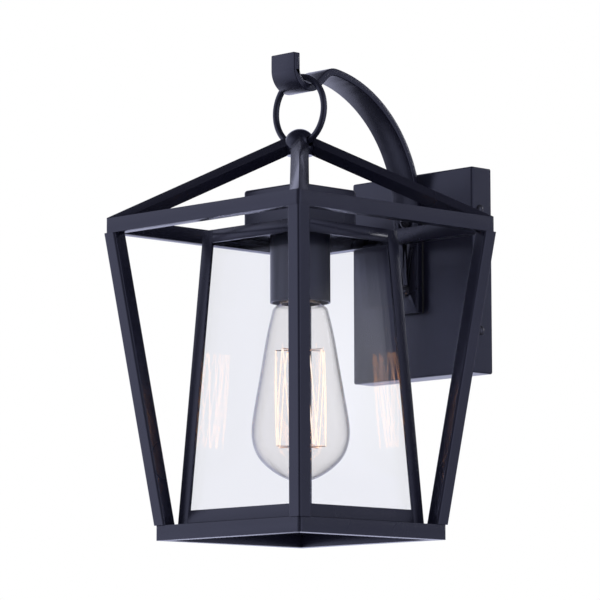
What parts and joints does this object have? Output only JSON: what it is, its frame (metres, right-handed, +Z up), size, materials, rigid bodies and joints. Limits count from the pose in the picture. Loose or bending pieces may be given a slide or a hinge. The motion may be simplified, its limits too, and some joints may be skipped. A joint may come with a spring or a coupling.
{
  "type": "outdoor wall lantern",
  "caption": "Wall lantern: open tapered cage with pyramid roof and glass housing, hung by a wire ring from a curved strap hook on a box backplate.",
  "frame": {"origin": "centre of the wall bolt pattern, on the wall plane", "axes": "+X right of someone facing the wall, +Y into the wall, +Z up"},
  "size_m": [0.1796, 0.2118, 0.3134],
  "materials": {
    "frame_paint": "satin black powder coat with fine texture",
    "plate_paint": "satin black powder coat with fine texture",
    "screw_paint": "black coated steel",
    "zinc_steel": "zinc plated",
    "green_steel": "green dyed plating",
    "gasket_rubber": "matte foam rubber",
    "pane_glass": "clear, polished",
    "socket_moulding": "moulded phenolic",
    "shell_brass": "copper-toned brass, lightly tarnished",
    "bulb_brass": "rolled brass",
    "insulator_glass": "black glass",
    "solder": "dull solder",
    "bulb_glass": "clear, blown",
    "filament": "carbonised strand, lit",
    "support_wire": "drawn wire"
  },
  "bodies": {
    "wall_unit": {"backplate": "plate_paint", "mounting_bracket": "zinc_steel", "side_screws": "screw_paint", "ground_screw": "green_steel", "hook_arm": "frame_paint", "arm_gasket": "gasket_rubber", "arm_screws": "screw_paint", "arm_nuts": "zinc_steel"},
    "hang_ring": {"hang_ring": "frame_paint"},
    "lantern": {"hub": "frame_paint", "top_ring_front": "frame_paint", "top_ring_right": "frame_paint", "top_ring_back": "frame_paint", "top_ring_left": "frame_paint", "bottom_rail_front": "frame_paint", "bottom_rail_right": "frame_paint", "bottom_rail_back": "frame_paint", "bottom_rail_left": "frame_paint", "cage_post_front_right": "frame_paint", "cage_post_back_right": "frame_paint", "cage_post_back_left": "frame_paint", "cage_post_front_left": "frame_paint", "hip_bar_front_right": "frame_paint", "hip_bar_back_right": "frame_paint", "hip_bar_back_left": "frame_paint", "hip_bar_front_left": "frame_paint", "housing_ledge": "frame_paint", "housing_low_bar_front": "frame_paint", "housing_low_bar_right": "frame_paint", "housing_low_bar_back": "frame_paint", "housing_low_bar_left": "frame_paint", "housing_top_bar_front": "frame_paint", "housing_top_bar_right": "frame_paint", "housing_top_bar_back": "frame_paint", "housing_top_bar_left": "frame_paint", "glass_pane_front": "pane_glass", "glass_pane_right": "pane_glass", "glass_pane_back": "pane_glass", "glass_pane_left": "pane_glass", "housing_post_front_right": "frame_paint", "housing_post_back_right": "frame_paint", "housing_post_back_left": "frame_paint", "housing_post_front_left": "frame_paint", "pane_clips": "zinc_steel", "housing_screws": "screw_paint", "top_plate": "frame_paint", "cap_box": "frame_paint", "nipple": "zinc_steel", "nipple_nuts": "screw_paint", "socket_cup": "frame_paint", "socket_body": "socket_moulding", "screw_shell": "shell_brass", "socket_contact": "shell_brass"},
    "bulb_contact": {"bulb_insulator": "insulator_glass", "bulb_button": "solder"},
    "bulb": {"bulb_envelope": "bulb_glass", "bulb_base": "bulb_brass", "bulb_stem": "bulb_glass", "bulb_filament": "filament", "filament_hooks": "support_wire"}
  },
  "joints": [
    {"name": "ring_swing", "type": "hinge", "parent": "wall_unit", "child": "hang_ring", "pos_m": [0, -0.122, 0.118], "axis": [1, 0, 0], "range_deg": [-20, 2]},
    {"name": "lantern_swing", "type": "hinge", "parent": "hang_ring", "child": "lantern", "pos_m": [0, -0.122, 0.0779], "axis": [1, 0, 0], "range_deg": [-20, 2]},
    {"name": "bulb_draw", "type": "slide", "parent": "lantern", "child": "bulb_contact", "axis": [0, 0, -1], "range_m": [0, 0.0254]},
    {"name": "bulb_turn", "type": "hinge", "parent": "bulb_contact", "child": "bulb", "pos_m": [0, -0.122, -0.02], "axis": [0, 0, -1], "range_deg": [0, 2519.01]}
  ],
  "couplings": [
    {"joint": "bulb_turn", "follows": "bulb_draw", "rad_per_m": 1730.9}
  ]
}
